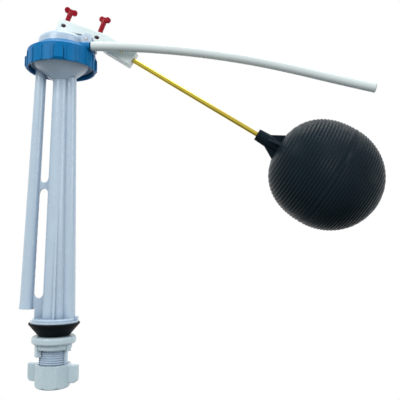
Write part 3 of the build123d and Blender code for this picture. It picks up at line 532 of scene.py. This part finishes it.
FLOAT_PLASTIC = MouldedPlastic(
    "black_float_plastic",
    colour=(0.006, 0.013, 0.018),
    cloud=(0.008, 0.017, 0.024),
    worn_and_highlit_edge=(0.050, 0.092, 0.115),
    painted_shade=(0.001, 0.0015, 0.002),
    grain=Grain.SPARKED_MOULD,
    shine=0.05,
    roughness=0.34,
    edge_wear_and_highlight=0.5,
    painted_shade_share=0.7,
    edge_radius=0.0003,
)
ACETAL = MouldedPlastic(
    "natural_acetal",
    colour=(0.66, 0.67, 0.66),
    cloud=(0.70, 0.71, 0.70),
    worn_and_highlit_edge=(0.85, 0.86, 0.86),
    roughness=0.3,
)
TUBE_PLASTIC = MouldedPlastic(
    "white_tube_plastic",
    colour=(0.62, 0.70, 0.70),
    cloud=(0.64, 0.72, 0.72),
    worn_and_highlit_edge=(0.66, 0.73, 0.75),
    painted_shade=(0.35, 0.41, 0.44),
    roughness=0.33,
    edge_wear_and_highlight=0.1,
    painted_shade_share=0.1,
    shine=0.4,
)
BRASS = DrawnBrass("drawn_brass")
STEEL = TurnedSteel("turned_steel")
RUBBER = PressedRubber("pressed_rubber")


class FinishShelf:
    """Keeps one built material for each finish."""

    def __init__(self) -> None:
        """Starts with nothing built."""
        self.built: dict[str, bpy.types.Material] = {}

    def take(self, finish: Finish) -> bpy.types.Material:
        """Gives a finish's material, built on first use.

        Args:
            finish: One of the finish dataclasses.

        Returns:
            Its material.
        """
        if finish.name not in self.built:
            self.built[finish.name] = finish.make()
        return self.built[finish.name]

    def dress(self, node: str, finish: Finish) -> None:
        """Puts a finish on a CAD node's material slots.

        Args:
            node: The node's name.
            finish: The finish it takes.
        """
        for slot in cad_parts[node].material_slots:
            slot.material = self.take(finish)
        LOG.info("dressed %s in %s", node, finish.name)


@dataclass
class DressedPieces:
    """A sub-assembly whose pieces come from the frame and only take a finish."""

    shelf: FinishShelf
    finishes: dict[str, Finish] = field(default_factory=dict)

    def build(self) -> None:
        """Dresses each piece in its finish."""
        for node, finish in self.finishes.items():
            self.shelf.dress(node, finish)


@dataclass
class FillColumn(DressedPieces):
    """The moulded column, from its threaded shank to the bowl."""

    finishes: dict[str, Finish] = field(default_factory=lambda: {"valve_body": WHITE_PLASTIC})


@dataclass
class ValveTop(DressedPieces):
    """The bonnet and ring nut, with the pieces in and under them."""

    finishes: dict[str, Finish] = field(
        default_factory=lambda: {
            "bonnet": WHITE_PLASTIC,
            "bonnet_gasket": RUBBER,
            "union_ring": BLUE_PLASTIC,
            "pivot_pin": STEEL,
            "valve_seat": ACETAL,
            "seat_o_ring": RUBBER,
            "seat_rubber": RUBBER,
            "plunger": ACETAL,
            "plunger_o_ring": RUBBER,
        }
    )


@dataclass
class FloatLinkage(DressedPieces):
    """The arm with its thumb screws, the rod and the float."""

    finishes: dict[str, Finish] = field(
        default_factory=lambda: {
            "float_arm": ARM_PLASTIC,
            "level_screw": RED_PLASTIC,
            "stop_screw": RED_PLASTIC,
            "float_rod": BRASS,
            "rod_nut": BRASS,
            "float_insert": BRASS,
            "float_shell_near": FLOAT_PLASTIC,
            "float_shell_far": FLOAT_PLASTIC,
        }
    )


@dataclass
class TankFixings(DressedPieces):
    """What clamps the column to the tank and the supply pipe to the column."""

    finishes: dict[str, Finish] = field(
        default_factory=lambda: {
            "shank_washer": RUBBER,
            "lock_nut": COOL_PLASTIC,
            "coupling_nut": COOL_PLASTIC,
            "friction_ring": ACETAL,
            "supply_washer": RUBBER,
        }
    )


@dataclass
class RefillTube:
    """The semi-stiff tube from the ring nut's nipple, drawn as one smooth curve."""

    shelf: FinishShelf
    diameter: float = 0.008
    wall: float = 0.0015
    steps_between_points: int = 20
    steps_round: int = 8
    length: float = 0.2496
    exit: Point = (0.0290, -0.0126, 0.2490)
    route: tuple[Point, ...] = (
        (0.0, 0.0, 0.0),
        (0.0150, 0.0, 0.0),
        (0.0392, -0.0003, -0.0009),
        (0.0730, -0.0009, -0.0036),
        (0.1088, -0.0017, -0.0082),
        (0.1447, -0.0024, -0.0144),
        (0.1810, -0.0032, -0.0228),
        (0.2168, -0.0038, -0.0320),
        (0.2457, -0.0042, -0.0388),
    )

    def curve(self) -> bpy.types.Object:
        """Draws the tube's curve, with its round outside.

        Returns:
            The curve object.
        """
        data = bpy.data.curves.new("refill_tube_run", "CURVE")
        data.dimensions = "3D"
        data.resolution_u = self.steps_between_points
        data.bevel_depth = self.diameter / 2
        data.bevel_resolution = self.steps_round
        data.use_fill_caps = False
        spline = data.splines.new("NURBS")
        spline.points.add(len(self.route) - 1)
        start = Vector(self.exit)
        for point, step in zip(spline.points, self.route):
            point.co = (*(start + Vector(step)), 1.0)
        spline.order_u = 3
        spline.use_endpoint_u = True
        return bpy.data.objects.new("refill_tube_run", data)

    def build(self) -> None:
        tube = self.curve()
        bpy.context.scene.collection.objects.link(tube)
        tube.data.materials.append(self.shelf.take(TUBE_PLASTIC))
        hollow = tube.modifiers.new("wall", "SOLIDIFY")
        hollow.thickness = self.wall
        hollow.offset = -1.0
        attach(tube, Body.TOP.value)
        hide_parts("refill_tube")
        LOG.info("built %s", tube.name)


@dataclass(frozen=True)
class SoftBox:
    """A square soft box: where it hangs, what it points at, its side, its watts and its colour."""

    name: str
    place: Point
    aim: Point
    side: float
    power: float
    tint: Colour


@dataclass
class Studio:
    """The room, lights and camera."""

    boxes: tuple[SoftBox, ...] = (
        SoftBox("key_box", (-0.55, -1.0, 0.95), (0.1, 0.0, 0.13), 0.7, 10.0, (1.0, 0.99, 0.97)),
        SoftBox("side_box", (1.1, -0.7, 0.5), (0.1, 0.0, 0.13), 0.6, 4.0, (0.96, 0.98, 1.0)),
        SoftBox("top_box", (0.15, 0.25, 1.2), (0.12, 0.0, 0.13), 0.8, 7.0, (1.0, 1.0, 1.0)),
    )
    camera_place: Point = (0.124, -0.447, 0.070)
    camera_pitch: float = math.radians(5.8)
    lens: float = 46.35
    sensor_width: float = 36.0
    nearest: float = 0.01
    farthest: float = 50.0
    sky: Colour = (1.0, 1.0, 1.0)
    behind: float = 1.0
    in_front: float = 0.60
    depth_fade: tuple[float, float] = (-0.8, 0.6)
    below: float = 0.20
    height_fade: tuple[float, float] = (-0.75, -0.30)

    def light(self, box: SoftBox) -> None:
        """Hangs a soft box.

        Args:
            box: The soft box.
        """
        data = bpy.data.lights.new(box.name, "AREA")
        data.shape = "SQUARE"
        data.size = box.side
        data.energy = box.power
        data.color = box.tint
        lamp = bpy.data.objects.new(box.name, data)
        lamp.location = box.place
        lamp.rotation_euler = (Vector(box.aim) - Vector(box.place)).to_track_quat("-Z", "Y").to_euler()
        bpy.context.scene.collection.objects.link(lamp)

    def fade(
        self,
        world: bpy.types.World,
        source: bpy.types.NodeSocket,
        span: tuple[float, float],
        levels: tuple[float, float],
    ) -> bpy.types.NodeSocket:
        """Fades the room's light smoothly along one direction.

        Args:
            world: The world that takes the nodes.
            source: The direction's part that drives the fade.
            span: Where the fade starts and ends.
            levels: Its value there.

        Returns:
            The faded value.
        """
        fall = world.node_tree.nodes.new("ShaderNodeMapRange")
        fall.interpolation_type = "SMOOTHSTEP"
        fall.inputs["From Min"].default_value, fall.inputs["From Max"].default_value = span
        fall.inputs["To Min"].default_value, fall.inputs["To Max"].default_value = levels
        world.node_tree.links.new(source, fall.inputs["Value"])
        return fall.outputs["Result"]

    def surround(self) -> None:
        """Fills the room with pale light that comes mostly from behind and above."""
        world = bpy.data.worlds.new("studio_room")
        world.use_nodes = True
        backdrop = world.node_tree.nodes["Background"]
        backdrop.inputs["Color"].default_value = (*self.sky, 1.0)
        direction = world.node_tree.nodes.new("ShaderNodeTexCoord").outputs["Generated"]
        split = world.node_tree.nodes.new("ShaderNodeSeparateXYZ")
        world.node_tree.links.new(direction, split.inputs["Vector"])
        depth = self.fade(world, split.outputs["Y"], self.depth_fade, (self.in_front, self.behind))
        height = self.fade(world, split.outputs["Z"], self.height_fade, (self.below, 1.0))
        both = world.node_tree.nodes.new("ShaderNodeMath")
        both.operation = "MULTIPLY"
        world.node_tree.links.new(depth, both.inputs[0])
        world.node_tree.links.new(height, both.inputs[1])
        world.node_tree.links.new(both.outputs["Value"], backdrop.inputs["Strength"])
        bpy.context.scene.world = world

    def camera(self) -> None:
        """Sets the camera up."""
        data = bpy.data.cameras.new("camera")
        data.sensor_width = self.sensor_width
        data.lens = self.lens
        data.clip_start = self.nearest
        data.clip_end = self.farthest
        eye = bpy.data.objects.new("camera", data)
        eye.location = self.camera_place
        eye.rotation_euler = (math.pi / 2 + self.camera_pitch, 0.0, 0.0)
        bpy.context.scene.collection.objects.link(eye)
        bpy.context.scene.camera = eye

    def build(self) -> None:
        """Builds the whole studio."""
        self.surround()
        for box in self.boxes:
            self.light(box)
        self.camera()
        bpy.context.scene.view_settings.view_transform = "Standard"
        LOG.info("built the studio")


def main() -> None:
    """Builds every sub-assembly and the studio."""
    logging.basicConfig(level=logging.INFO)
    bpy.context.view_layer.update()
    shelf = FinishShelf()
    for part in (
        FillColumn(shelf),
        ValveTop(shelf),
        FloatLinkage(shelf),
        TankFixings(shelf),
        RefillTube(shelf),
        Studio(),
    ):
        part.build()


if __name__ == "__main__":
    main()
